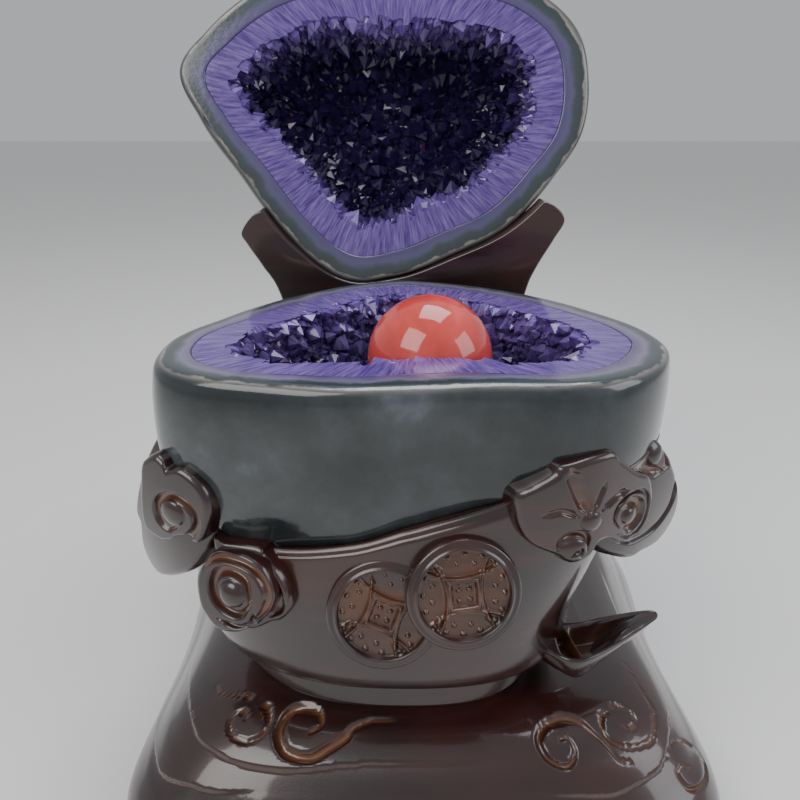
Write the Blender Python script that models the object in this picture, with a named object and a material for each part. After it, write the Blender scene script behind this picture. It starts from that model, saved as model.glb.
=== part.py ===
"""An amethyst geode sawn in two and shown open on a carved wooden stand.

The lower half lies in a carved bowl, the upper half stands on its narrow end in a notched board behind it,
and a polished ball lies in the lower hollow. Lengths are in metres, +Z is up, and -Y is the front.
The origin is on the table, under the middle of the stand's foot.
"""
import bpy
import bmesh
import numpy as np
from math import cos, pi, radians, sin
from mathutils import Matrix, Vector

GAP = 0.0004                       # air kept between pieces that rest on each other

# The two halves of the stone. A plan is (angle in degrees, distance from the middle) around the sawn face.
RIM_HEIGHT = 0.311                 # sawn face of the lower half above the table
LOWER_MIDDLE = (0.004, -0.030)
LOWER_PLAN = ((-90, 0.098), (-66, 0.103), (-37, 0.138), (-15, 0.149), (-2, 0.143), (19, 0.126), (47, 0.117),
              (75, 0.119), (94, 0.126), (106, 0.122), (136, 0.116), (168, 0.126), (189, 0.147), (207, 0.151),
              (232, 0.120), (250, 0.107))
LOWER_LEAN = 0.16                  # how much deeper the left side is than the right, per metre across

UPPER_FOOT = (-0.010, 0.101, 0.308)   # middle of the standing end of the sawn face
UPPER_LEAN = 15.0                  # degrees that the sawn face leans back
UPPER_MIDDLE = 0.122               # from the standing end up to the middle of the sawn face
UPPER_PLAN = ((-106, 0.126), (-90, 0.119), (-66, 0.112), (-41, 0.120), (-20, 0.130), (-5, 0.143), (12, 0.149),
              (24, 0.150), (38, 0.140), (62, 0.118), (90, 0.108), (118, 0.118), (142, 0.139), (156, 0.152),
              (168, 0.163), (180, 0.145), (197, 0.125), (212, 0.119), (230, 0.120))
# The layers of each half, as closed forms one inside the other. Each is: how far its line on the sawn face
# lies inside the plan, how far its widest level lies behind that face, and its depth from that level.
LOWER_LAYERS = {"skin": (0.0, 0.034, 0.112), "room": (0.020, 0.012, 0.068), "air": (0.041, 0.005, 0.055)}
UPPER_LAYERS = {"skin": (0.0, 0.026, 0.092), "room": (0.019, 0.018, 0.078), "air": (0.040, 0.012, 0.062)}
CRYSTAL = 0.0095                   # height of a tall crystal
STONE_CUTS = (32, 15)              # cuts around and down in the skin
ROOM_CUTS = (20, 11)               # and in the back of a crust

# The ball in the lower hollow.
BALL_RADIUS = 0.0375
BALL_CENTRE = (0.013, -0.044, 0.2975)

# The lower stand: how far each step reaches, as a share of the half width, and its height.
BASE_WIDTH = 0.414
BASE_DEPTH = 0.370
BASE_SQUARENESS = 4.2              # 2 would be an ellipse, and a high power a rectangle
BASE_SHIFT = 0.010                 # the carving bulges to the right over a centred foot
BASE_WAIST = 0.10                  # how far the two sides are drawn in at the middle, as a share
FOOT_RISE = 0.02                   # the shift grows from none on the table to its full size at this height
BASE_SIDES = 48
BASE_STEPS = ((0.965, 0.000), (0.990, 0.012), (1.000, 0.024), (0.985, 0.036), (0.945, 0.049), (0.915, 0.056),
              (0.870, 0.068), (0.810, 0.080), (0.720, 0.089), (0.600, 0.096))

# The bowl: its height, and how far it reaches to the front and back, to the left and to the right at each step.
BOWL_HALF_WIDTH = 0.150
BOWL_HALF_DEPTH = 0.112
BOWL_MIDDLE = (0.000, -0.028)
BOWL_FOOT = 0.140
BOWL_RIM = 0.215
BOWL_SQUARENESS = 2.3
BOWL_SIDES = 36
BOWL_STEPS = ((0.0964, 0.82, 0.76, 0.58), (0.116, 0.80, 0.75, 0.58), (0.124, 0.94, 0.86, 0.68),
              (0.134, 0.985, 0.90, 0.72), (0.152, 0.995, 0.93, 0.73), (0.182, 0.985, 0.965, 0.86),
              (BOWL_RIM, 0.94, 0.975, 0.985))
BOWL_LIP = ((-125, 0.212), (-100, 0.221), (-85, 0.236), (-60, 0.252), (-30, 0.262), (0, 0.252), (45, 0.236),
            (90, 0.230), (135, 0.236), (180, 0.250), (205, 0.246), (218, 0.222))

# The raised ornaments on the bowl. Each front lies in a plane that faces a heading to the right of the front
# and tilts up (degrees), through a place. The two coins: name, place, heading, tilt.
COIN_RADIUS = 0.0315
COIN_THICKNESS = 0.020
COINS = (("coin_left", (-0.0140, -0.1428, 0.1845), -2, 14),
         ("coin_right", (0.0295, -0.1448, 0.1990), 7, 14))
# Outlines of the scrolls and the plaque in their planes, in millimetres to the right and up.
CLOUD_LEFT = ((1, 83), (-20, 63), (-29, 44), (-39, 13), (-34, 4), (-36, -13), (-24, -30), (-11, -26), (5, -17),
              (25, 0), (36, 18), (39, 35), (24, 56))
LOBE_LEFT = ((-14, 48), (-3, 57), (6, 51), (21, 51), (33, 30), (30, 20), (10, 9), (-3, 2), (-15, 4), (-18, 25))
SCROLL_LEFT = ((-24, 17), (-19, -6), (1, -12), (17, -1), (25, 19), (14, 35), (-4, 36), (-18, 27))
SCROLL_INNER = ((-34, 33), (-6, 36), (7, 24), (14, 10), (9, -5), (-18, -15))
PLAQUE = ((-49, 40), (-31, 51), (-9, 52), (7, 48), (31, 30), (36, 14), (30, -4), (13, -4), (-9, -9), (-20, -10),
          (-30, -1), (-44, 8), (-51, 26))
CLOUD_RIGHT = ((-14, 82), (6, 56), (25, 25), (31, 10), (26, -11), (0, -17), (-24, -11), (-42, 6), (-44, 30),
               (-30, 58))
# Each slab: name, outline, thickness, place, heading, tilt, and how it bends back to its left and to its right,
# as one over the radius.
SLABS = (("cloud_left", CLOUD_LEFT, 0.036, (-0.142, -0.097, 0.195), -38, 0, (0, 3)),
         ("lobe_left", LOBE_LEFT, 0.026, (-0.137, -0.112, 0.207), -28, 0, (0, 0)),
         ("scroll_left", SCROLL_LEFT, 0.030, (-0.098, -0.137, 0.180), -22, 8, (0, 0)),
         ("scroll_inner", SCROLL_INNER, 0.022, (-0.078, -0.134, 0.182), -18, 6, (0, 8)),
         ("plaque", PLAQUE, 0.026, (0.106, -0.127, 0.221), 27, 0, (9, 1.5)),
         ("cloud_right", CLOUD_RIGHT, 0.034, (0.143, -0.094, 0.205), 38, 0, (6, 0)))
SLAB_BEVEL = 0.004
# The curled leaf at the bowl's lower right and the pocket in it, seen from above in millimetres.
LEAF = ((68, -100), (84, -120), (98, -128), (118, -119), (146, -99), (157, -89), (153, -83), (124, -89), (100, -95),
        (76, -90))
LEAF_POCKET = ((96, -109), (96, -119), (101, -124), (117, -116), (144, -97), (150, -90), (145, -88), (124, -93),
               (104, -101))
LEAF_TOP = 0.141
LEAF_THICKNESS = 0.022
LEAF_BEVEL = 0.002
POCKET_DEPTH = 0.013
POCKET_CLEAR = 0.010               # how far the pocket's cutter stands over the leaf

# The board behind that holds the upper half: its outline seen from the front, and the saddle's seen from the right.
REST_FRONT = 0.0975                # its front face
REST_THICKNESS = 0.020
REST_BEVEL = 0.002
REST_SLOT = (0.0745, 0.0685)       # half width and bottom of the slot that its foot stands in
REST_OUTLINE = ((-0.124, 0.346), (-0.112, 0.360), (-0.096, 0.360), (-0.070, 0.345), (0.000, 0.335), (0.062, 0.354),
                (0.084, 0.370), (0.108, 0.366), (0.118, 0.355), (0.111, 0.340), (0.099, 0.318), (0.092, 0.298),
                (0.080, 0.240), (0.072, 0.160), (0.072, 0.110), (0.064, 0.074), (0.000, 0.070), (-0.064, 0.074),
                (-0.072, 0.110), (-0.074, 0.160), (-0.084, 0.240), (-0.098, 0.298), (-0.110, 0.320), (-0.120, 0.336))
SADDLE_OUTLINE = ((0.105, 0.190), (0.120, 0.200), (0.140, 0.240), (0.158, 0.285), (0.168, 0.330), (0.150, 0.345),
                  (0.105, 0.340))
SADDLE_WIDTH = 0.090
SADDLE_BEVEL = 0.003

GEODE = "amethyst_geode"


def clear_scene():
    """Empty the scene of objects."""
    for thing in list(bpy.data.objects):
        bpy.data.objects.remove(thing, do_unlink=True)


def collection(name):
    """A collection linked to the scene."""
    group = bpy.data.collections.new(name)
    bpy.context.scene.collection.children.link(group)
    return group


def finish(name, colour, roughness, metallic=0.0):
    """A plain surface colour."""
    material = bpy.data.materials.new(name)
    material.use_nodes = True
    shader = material.node_tree.nodes["Principled BSDF"]
    shader.inputs["Base Color"].default_value = (*colour, 1.0)
    shader.inputs["Roughness"].default_value = roughness
    shader.inputs["Metallic"].default_value = metallic
    return material


def add_object(name, bm, group, material=None):
    """Put a bmesh into a named object."""
    bmesh.ops.recalc_face_normals(bm, faces=bm.faces)
    mesh = bpy.data.meshes.new(name)
    bm.to_mesh(mesh)
    bm.free()
    thing = bpy.data.objects.new(name, mesh)
    group.objects.link(thing)
    if material:
        mesh.materials.append(material)
    return thing


def as_cutter(thing):
    """Mark an object as a guide that isn't part of the model."""
    thing.hide_render = True
    thing.display_type = "WIRE"
    return thing


def boolean(thing, cutter, operation):
    """Add a live exact Boolean."""
    step = thing.modifiers.new(operation.title() + " " + cutter.name, "BOOLEAN")
    step.operation = operation
    step.object = cutter
    step.solver = "EXACT"


def smooth_by_angle(thing, degrees=32):
    """Shade the round stretches smooth and keep the sharp edges."""
    thing.data.shade_smooth()
    thing.data.set_sharp_from_angle(angle=radians(degrees))


def around(plan, angle):
    """The value at an angle, on a smooth closed line through a plan's (degrees, value) points."""
    turns = sorted((radians(a) % (2 * pi), r) for a, r in plan)
    count = len(turns)
    angle = angle % (2 * pi)
    after = next((i for i, point in enumerate(turns) if point[0] > angle), count)
    marks = []
    for step in (-2, -1, 0, 1):
        lap, index = divmod(after + step, count)
        marks.append((turns[index][0] + 2 * pi * lap, turns[index][1]))
    (a0, r0), (a1, r1), (a2, r2), (a3, r3) = marks
    t = (angle - a1) / (a2 - a1)
    slope1 = (r2 - r0) / (a2 - a0) * (a2 - a1)
    slope2 = (r3 - r1) / (a3 - a1) * (a2 - a1)
    return ((2 * t**3 - 3 * t**2 + 1) * r1 + (t**3 - 2 * t**2 + t) * slope1
            + (3 * t**2 - 2 * t**3) * r2 + (t**3 - t**2) * slope2)


def stone_reach(direction, plan, layer, grow=0.0, fullness=2.5):
    """How far a layer of the stone reaches from the middle of its widest level, along a unit direction.

    Across, it follows the plan, swelled so that the line on the sawn face keeps its place; down and up
    it closes like a full ellipse. A layer that grows stands that much further out all round.
    """
    inset, belly, depth = layer
    swell = (1 - (belly / depth) ** fullness) ** (-1 / fullness)
    across = np.hypot(direction.x, direction.y)
    wide = (around(plan, np.arctan2(direction.y, direction.x)) - inset) * swell + grow
    deep = depth + grow
    lumps = 1 + 0.012 * sin(5 * direction.x + 3 * direction.y + 1) * sin(4 * direction.z + 2)
    return lumps * ((across / wide) ** fullness + (abs(direction.z) / deep) ** fullness) ** (-1 / fullness)


def stone_point(direction, reach, layer, lean):
    """The place of a skin's point: the left side hangs lower by the lean, more so further down."""
    place = direction * reach
    place.z += lean * place.x * max(0.0, -place.z / layer[2]) - layer[1]
    return place


def stone_form(name, plan, layer, lean, group, grow=0.0, cuts=STONE_CUTS):
    """A closed lump of a layer's form, with the sawn face at z = 0 and the bulk below it.

    It is cut into triangles the same way at every size, so that a seat keeps its gap all over.
    """
    bm = bmesh.new()
    bmesh.ops.create_uvsphere(bm, u_segments=cuts[0], v_segments=cuts[1], radius=1.0)
    for vert in bm.verts:
        direction = vert.co.normalized()
        vert.co = stone_point(direction, stone_reach(direction, plan, layer, grow), layer, lean)
    bmesh.ops.triangulate(bm, faces=bm.faces, quad_method="FIXED")
    return add_object(name, bm, group)


def hollow_form(name, plan, layer, lean, group, seed, resting=None):
    """The air in the hollow: a lump whose skin is dented by six-sided crystal points.

    Every corner of an icosphere becomes the tip of a crystal, and every face centre becomes a foot
    between crystals: each face is poked, and the old edges are turned to join the face centres. Tips
    that a ball rests on end at its surface.
    """
    chance = np.random.default_rng(seed)
    bm = bmesh.new()
    bmesh.ops.create_icosphere(bm, subdivisions=2, radius=1.0)
    turn = Matrix.Rotation(0.35, 4, "X") @ Matrix.Rotation(0.2, 4, "Z")
    bmesh.ops.transform(bm, matrix=turn, verts=bm.verts)
    for _ in range(3):
        tips = set(bm.verts)
        old_edges = list(bm.edges)
        bmesh.ops.poke(bm, faces=bm.faces)
        bmesh.ops.rotate_edges(bm, edges=old_edges, use_ccw=False)
    for vert in bm.verts:
        wobble = Vector(chance.uniform(-0.025, 0.025, 3))
        direction = (vert.co.normalized() + wobble).normalized()
        reach = stone_reach(direction, plan, layer)
        if vert in tips:
            reach -= CRYSTAL * chance.uniform(0.4, 1.3)
        vert.co = stone_point(direction, reach, layer, lean)
        if resting:
            centre, clear = resting
            away = vert.co - centre
            if away.length < clear:
                vert.co = centre + away.normalized() * clear
    return add_object(name, bm, group)


def block(name, low, high, group):
    """A box between two corners."""
    bm = bmesh.new()
    bmesh.ops.create_cube(bm, size=1.0)
    low = Vector(low)
    high = Vector(high)
    for vert in bm.verts:
        for axis in range(3):
            vert.co[axis] = low[axis] if vert.co[axis] < 0 else high[axis]
    return add_object(name, bm, group)


def half_geode(side, plan, layers, lean, frame, parts, cutters, stone, crystal, seed, resting=None):
    """One half: the stone shell, and the crust of crystals that lines it, both sawn flat."""
    above = as_cutter(block(side + "_saw", (-0.3, -0.3, 0), (0.3, 0.3, 0.3), cutters))
    room = as_cutter(stone_form(side + "_room", plan, layers["room"], lean * 0.4, cutters, cuts=ROOM_CUTS))
    air = as_cutter(hollow_form(side + "_air", plan, layers["air"], 0.0, cutters, seed, resting))
    shell = stone_form(side + "_geode", plan, layers["skin"], lean, parts)
    shell.data.materials.append(stone)
    boolean(shell, room, "DIFFERENCE")
    boolean(shell, above, "DIFFERENCE")
    crust = stone_form(side + "_crystals", plan, layers["room"], lean * 0.4, parts, grow=-GAP, cuts=ROOM_CUTS)
    crust.data.materials.append(crystal)
    boolean(crust, air, "DIFFERENCE")
    boolean(crust, above, "DIFFERENCE")
    seat = as_cutter(stone_form(side + "_seat", plan, layers["skin"], lean, cutters, grow=GAP))
    for thing in (above, room, air, shell, crust, seat):
        thing.matrix_world = frame
    return seat


def superellipse(half_x, half_y, power, angle):
    """A point on a rounded rectangle."""
    x = half_x * abs(cos(angle)) ** (2 / power) * (1 if cos(angle) > 0 else -1)
    y = half_y * abs(sin(angle)) ** (2 / power) * (1 if sin(angle) > 0 else -1)
    return x, y


def loft(name, rings, group):
    """A closed solid through rings of equal count, from the lowest ring to the highest."""
    bm = bmesh.new()
    loops = [[bm.verts.new(point) for point in ring] for ring in rings]
    for low, high in zip(loops, loops[1:]):
        for i in range(len(low)):
            j = (i + 1) % len(low)
            bm.faces.new((low[i], low[j], high[j], high[i]))
    bm.faces.new(list(reversed(loops[0])))
    bm.faces.new(loops[-1])
    return add_object(name, bm, group)


def base(parts, cutters, wood):
    """The lower stand: a rounded block with drawn-in sides that narrows upwards, with a slot for the board."""
    rings = []
    for scale, height in BASE_STEPS:
        ring = []
        for k in range(BASE_SIDES):
            angle = 2 * pi * k / BASE_SIDES
            x, y = superellipse(BASE_WIDTH / 2 * scale, BASE_DEPTH / 2 * scale, BASE_SQUARENESS, angle)
            x *= 1 - BASE_WAIST * (1 - (2 * y / BASE_DEPTH) ** 2) ** 2
            ring.append((x + BASE_SHIFT * min(1.0, height / FOOT_RISE), y, height))
        rings.append(ring)
    thing = loft("stand_base", rings, parts)
    thing.data.materials.append(wood)
    smooth_by_angle(thing)
    half, bottom = REST_SLOT
    slot = block("rest_slot", (-half, REST_FRONT - GAP, bottom),
                 (half, REST_FRONT + REST_THICKNESS + GAP, 0.2), cutters)
    boolean(thing, as_cutter(slot), "DIFFERENCE")
    return thing


def bowl(parts, cutters, wood, seat):
    """The carved bowl: a neck, a flared edge, a round side and a wavy lip, with its ornaments grown out of it."""
    rings = []
    for height, deep, left, right in BOWL_STEPS:
        rise = max(0.0, (height - BOWL_FOOT) / (BOWL_RIM - BOWL_FOOT))
        ring = []
        for k in range(BOWL_SIDES):
            angle = 2 * pi * k / BOWL_SIDES
            x, y = superellipse(BOWL_HALF_WIDTH, BOWL_HALF_DEPTH, BOWL_SQUARENESS, angle)
            side = left if x < 0 else right
            blend = abs(x) / BOWL_HALF_WIDTH
            wide = deep + (side - deep) * blend
            lip = around(BOWL_LIP, angle)
            ring.append((BOWL_MIDDLE[0] + x * wide, BOWL_MIDDLE[1] + y * deep, height + (lip - BOWL_RIM) * rise**2))
        rings.append(ring)
    thing = loft("stand_bowl", rings, parts)
    thing.data.materials.append(wood)
    for ornament in ornaments(cutters):
        boolean(thing, as_cutter(ornament), "UNION")
    pocket = flat_shape("leaf_pocket", in_metres(LEAF_POCKET), POCKET_DEPTH + POCKET_CLEAR, cutters)
    pocket.matrix_world = Matrix.Translation((0, 0, LEAF_TOP + (POCKET_CLEAR - POCKET_DEPTH) / 2))
    boolean(thing, as_cutter(pocket), "DIFFERENCE")
    boolean(thing, seat, "DIFFERENCE")
    return thing


def in_metres(outline):
    """Points in millimetres as points in metres."""
    return [(x / 1000, y / 1000) for x, y in outline]


def flat_shape(name, outline, thickness, group, bevel=0.0, detail=1):
    """A board with a smooth closed outline, in its own XY plane, its edges cut at a slant by the bevel."""
    curve = bpy.data.curves.new(name, "CURVE")
    curve.dimensions = "2D"
    curve.fill_mode = "BOTH"
    curve.extrude = thickness / 2 - bevel
    curve.bevel_depth = bevel
    curve.bevel_resolution = 0
    curve.offset = -bevel
    curve.resolution_u = detail
    spline = curve.splines.new("BEZIER")
    spline.bezier_points.add(len(outline) - 1)
    for point, place in zip(spline.bezier_points, outline):
        point.co = (place[0], place[1], 0)
        point.handle_left_type = "AUTO"
        point.handle_right_type = "AUTO"
    spline.use_cyclic_u = True
    drawn = bpy.data.objects.new(name, curve)
    group.objects.link(drawn)
    bpy.context.view_layer.update()
    mesh = bpy.data.meshes.new_from_object(drawn.evaluated_get(bpy.context.evaluated_depsgraph_get()))
    bpy.data.objects.remove(drawn, do_unlink=True)
    bm = bmesh.new()
    bm.from_mesh(mesh)
    bpy.data.meshes.remove(mesh)
    bmesh.ops.remove_doubles(bm, verts=bm.verts, dist=0.00005)
    return add_object(name, bm, group)


def facing(place, heading, tilt):
    """A frame at a place whose Z axis points out along a heading and tilts up, and whose Y axis points up."""
    turn = Matrix.Rotation(radians(heading), 4, "Z") @ Matrix.Rotation(radians(90 - tilt), 4, "X")
    return Matrix.Translation(Vector(place)) @ turn


def disc(name, radius, thickness, group):
    """A round boss with a slightly smaller front, which lies at z = 0."""
    bm = bmesh.new()
    bmesh.ops.create_cone(bm, segments=24, radius1=radius, radius2=radius * 0.96, depth=thickness, cap_ends=True)
    bmesh.ops.translate(bm, vec=(0, 0, -thickness / 2), verts=bm.verts)
    return add_object(name, bm, group)


def ornaments(cutters):
    """The raised shapes on the bowl: two coins, cloud scrolls left and right, the lotus plaque and the leaf."""
    made = []
    for name, place, heading, tilt in COINS:
        coin = disc(name, COIN_RADIUS, COIN_THICKNESS, cutters)
        coin.matrix_world = facing(place, heading, tilt)
        made.append(coin)
    for name, outline, thickness, place, heading, tilt, bend in SLABS:
        slab = flat_shape(name, in_metres(outline), thickness, cutters, bevel=SLAB_BEVEL)
        for vert in slab.data.vertices:
            vert.co.z -= vert.co.x ** 2 / 2 * (bend[0] if vert.co.x < 0 else bend[1])
        slab.matrix_world = facing(place, heading, tilt) @ Matrix.Translation((0, 0, -thickness / 2))
        made.append(slab)
    leaf = flat_shape("leaf", in_metres(LEAF), LEAF_THICKNESS, cutters, bevel=LEAF_BEVEL)
    leaf.matrix_world = Matrix.Translation((0, 0, LEAF_TOP - LEAF_THICKNESS / 2))
    made.append(leaf)
    return made


def rest(parts, cutters, wood, seat):
    """The notched board behind the lower half, its saddle under the upper half, and its stem."""
    board = flat_shape("lid_rest", REST_OUTLINE, REST_THICKNESS, parts, bevel=REST_BEVEL)
    board.matrix_world = (Matrix.Translation((0, REST_FRONT + REST_THICKNESS / 2, 0))
                          @ Matrix.Rotation(pi / 2, 4, "X"))
    board.data.materials.append(wood)
    saddle = flat_shape("saddle", SADDLE_OUTLINE, SADDLE_WIDTH, cutters, bevel=SADDLE_BEVEL)
    saddle.matrix_world = Matrix.Rotation(pi / 2, 4, "Z") @ Matrix.Rotation(pi / 2, 4, "X")
    boolean(board, as_cutter(saddle), "UNION")
    boolean(board, seat, "DIFFERENCE")
    return board


def ball(parts, stone):
    """The polished ball."""
    bm = bmesh.new()
    bmesh.ops.create_icosphere(bm, subdivisions=3, radius=BALL_RADIUS)
    thing = add_object("ball", bm, parts)
    thing.location = BALL_CENTRE
    thing.data.materials.append(stone)
    thing.data.shade_smooth()
    return thing


def build():
    """Make the whole object."""
    clear_scene()
    parts = collection(GEODE)
    cutters = collection("cutters")
    wood = finish("dark_wood", (0.045, 0.016, 0.012), 0.25)
    stone = finish("stone_skin", (0.07, 0.08, 0.09), 0.3)
    crystal = finish("amethyst", (0.17, 0.08, 0.42), 0.15)
    coral = finish("coral_ball", (0.80, 0.12, 0.09), 0.12)
    lower_frame = Matrix.Translation((LOWER_MIDDLE[0], LOWER_MIDDLE[1], RIM_HEIGHT))
    resting = (lower_frame.inverted() @ Vector(BALL_CENTRE), BALL_RADIUS + 2 * GAP)
    lower_seat = half_geode("lower", LOWER_PLAN, LOWER_LAYERS, LOWER_LEAN, lower_frame,
                            parts, cutters, stone, crystal, seed=11, resting=resting)
    upright = Matrix.Rotation(radians(90 - UPPER_LEAN), 4, "X")
    upper_frame = Matrix.Translation(UPPER_FOOT) @ upright @ Matrix.Translation((0, UPPER_MIDDLE, 0))
    upper_seat = half_geode("upper", UPPER_PLAN, UPPER_LAYERS, 0.0, upper_frame,
                            parts, cutters, stone, crystal, seed=23)
    base(parts, cutters, wood)
    bowl(parts, cutters, wood, lower_seat)
    rest(parts, cutters, wood, upper_seat)
    ball(parts, coral)


build()
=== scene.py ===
"""The finish of an amethyst geode, sawn in two and shown open on a carved wooden stand.

Lengths are in metres, +Z is up and -Y is the front, as in the solids that this script dresses.
"""
import math

import bpy
import numpy as np
from mathutils import Matrix, Vector


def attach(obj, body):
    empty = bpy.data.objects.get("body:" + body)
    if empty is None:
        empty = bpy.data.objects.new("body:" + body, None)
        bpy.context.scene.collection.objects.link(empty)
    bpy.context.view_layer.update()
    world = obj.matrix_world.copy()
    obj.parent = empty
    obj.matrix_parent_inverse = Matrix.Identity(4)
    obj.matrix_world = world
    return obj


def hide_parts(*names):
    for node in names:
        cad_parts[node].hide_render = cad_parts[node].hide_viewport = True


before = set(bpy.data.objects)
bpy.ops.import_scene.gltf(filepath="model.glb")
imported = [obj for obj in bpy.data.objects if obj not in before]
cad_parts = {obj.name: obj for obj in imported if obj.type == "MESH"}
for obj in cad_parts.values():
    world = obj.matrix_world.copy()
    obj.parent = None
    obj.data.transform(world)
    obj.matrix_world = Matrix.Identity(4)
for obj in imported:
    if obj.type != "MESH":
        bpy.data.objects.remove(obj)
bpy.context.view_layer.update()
TAU = 2 * math.pi

# The room: a pale floor, soft daylight from all round and three soft lamps.
# The camera stands close in front and looks down on the set, as in the photograph.
CAMERA_PLACE = (-0.005, -0.470, 0.450)
CAMERA_TILT = 67.0
CAMERA_LENS = 33.75
PAPER = (0.80, 0.79, 0.77)
LAMPS = (("window", (-0.9, -0.9, 1.5), (0.0, 0.0, 0.25), 1.1, 16.0, (1.0, 0.98, 0.95)),
         ("ceiling", (0.15, 0.35, 1.7), (0.0, -0.05, 0.2), 0.9, 15.0, (0.90, 0.93, 1.0)),
         ("side", (1.3, -0.4, 0.9), (0.0, 0.0, 0.2), 0.8, 6.0, (0.93, 0.95, 1.0)))


def start_finish(name):
    """A new material, its node tree and its shader."""
    material = bpy.data.materials.new(name)
    material.use_nodes = True
    tree = material.node_tree
    return material, tree, tree.nodes["Principled BSDF"]


def add(tree, kind, inputs=None, output=0, **settings):
    """Add one shader node; each input takes a value or another node's output. Returns its output."""
    node = tree.nodes.new("ShaderNode" + kind)
    for key, value in settings.items():
        setattr(node, key, value)
    for key, value in (inputs or {}).items():
        if isinstance(value, bpy.types.NodeSocket):
            tree.links.new(value, node.inputs[key])
        else:
            node.inputs[key].default_value = value
    return node.outputs[output]


def ramp(tree, factor, *stops):
    """A colour ramp through (place, colour) stops; a colour may be one grey value."""
    node = tree.nodes.new("ShaderNodeValToRGB")
    tree.links.new(factor, node.inputs[0])
    while len(node.color_ramp.elements) < len(stops):
        node.color_ramp.elements.new(0.5)
    for element, (place, colour) in zip(node.color_ramp.elements, stops):
        element.position = place
        element.color = (colour,) * 3 + (1.0,) if isinstance(colour, float) else (*colour, 1.0)
    return node.outputs[0]


def mix(tree, factor, first, second, blend="MIX"):
    """Mix two colours, each a socket or a colour."""
    node = tree.nodes.new("ShaderNodeMix")
    node.data_type = "RGBA"
    node.blend_type = blend
    for key, value in ((0, factor), (6, first), (7, second)):
        if isinstance(value, bpy.types.NodeSocket):
            tree.links.new(value, node.inputs[key])
        else:
            node.inputs[key].default_value = value if key == 0 else (*value, 1.0)
    return node.outputs[2]


def sums(tree, operation, first, second):
    """One sum of two numbers, each a socket or a value."""
    return add(tree, "Math", {0: first, 1: second}, operation=operation)


def bump(tree, shader, height, strength, distance):
    """Small relief on a shader from a height."""
    normal = add(tree, "Bump", {"Height": height, "Strength": strength, "Distance": distance})
    tree.links.new(normal, shader.inputs["Normal"])


def aim(thing, place, target):
    """Stand a lamp at a place, facing a target."""
    thing.location = place
    thing.rotation_euler = (Vector(target) - Vector(place)).to_track_quat("-Z", "Y").to_euler()


def studio():
    """The camera, the lamps, the pale surroundings and the floor."""
    camera = bpy.data.objects.new("camera", bpy.data.cameras.new("camera"))
    camera.location = CAMERA_PLACE
    camera.rotation_euler = (math.radians(CAMERA_TILT), 0.0, 0.0)
    camera.data.lens = CAMERA_LENS
    camera.data.clip_start = 0.01
    bpy.context.scene.collection.objects.link(camera)
    bpy.context.scene.camera = camera
    for name, place, target, size, power, colour in LAMPS:
        lamp = bpy.data.objects.new(name, bpy.data.lights.new(name, "AREA"))
        lamp.data.size = size
        lamp.data.energy = power
        lamp.data.color = colour
        aim(lamp, place, target)
        bpy.context.scene.collection.objects.link(lamp)
    world = bpy.data.worlds.new("surroundings")
    world.use_nodes = True
    world.node_tree.nodes["Background"].inputs["Color"].default_value = (0.86, 0.88, 0.92, 1.0)
    world.node_tree.nodes["Background"].inputs["Strength"].default_value = 0.55
    bpy.context.scene.world = world
    reach = 6.0
    mesh = bpy.data.meshes.new("floor")
    mesh.from_pydata([(-reach, -reach, 0), (reach, -reach, 0), (reach, reach, 0), (-reach, reach, 0)],
                     [], [(0, 1, 2, 3)])
    floor = bpy.data.objects.new("floor", mesh)
    bpy.context.scene.collection.objects.link(floor)
    material, tree, shader = start_finish("floor_paper")
    shader.inputs["Base Color"].default_value = (*PAPER, 1.0)
    shader.inputs["Roughness"].default_value = 0.55
    mesh.materials.append(material)


studio()

# The geode's two halves: weathered basalt lined with agate, sawn through, then ground and polished all over.
# Each is a full rounded lump below its sawn face, whose edge is eased, and is hollow for the crystals.
RIM_HEIGHT = 0.311
LOWER_MIDDLE = (0.004, -0.030)
LOWER_PLAN = ((-90, 0.098), (-66, 0.103), (-37, 0.138), (-15, 0.149), (-2, 0.143), (19, 0.126), (47, 0.117),
              (75, 0.119), (94, 0.126), (106, 0.122), (136, 0.116), (168, 0.126), (189, 0.147), (207, 0.151),
              (232, 0.120), (250, 0.107))
LOWER_LEAN = 0.16
UPPER_FOOT = (-0.010, 0.101, 0.308)
UPPER_LEAN = 15.0
UPPER_MIDDLE = 0.122
UPPER_PLAN = ((-106, 0.126), (-90, 0.119), (-66, 0.112), (-41, 0.120), (-20, 0.130), (-5, 0.143), (12, 0.149),
              (24, 0.150), (38, 0.140), (62, 0.118), (90, 0.108), (118, 0.118), (142, 0.139), (156, 0.152),
              (168, 0.163), (180, 0.145), (197, 0.125), (212, 0.119), (230, 0.120))
LOWER_LAYERS = {"skin": (0.0, 0.034, 0.112), "room": (0.020, 0.012, 0.068), "air": (0.041, 0.005, 0.055)}
UPPER_LAYERS = {"skin": (0.0, 0.026, 0.092), "room": (0.019, 0.018, 0.078), "air": (0.040, 0.012, 0.062)}
FULLNESS = 2.5
LOWER_FRAME = Matrix.Translation((*LOWER_MIDDLE, RIM_HEIGHT))
UPPER_FRAME = (Matrix.Translation(UPPER_FOOT) @ Matrix.Rotation(math.radians(90 - UPPER_LEAN), 4, "X")
               @ Matrix.Translation((0, UPPER_MIDDLE, 0)))
STONE_COLUMNS = 400


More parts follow.
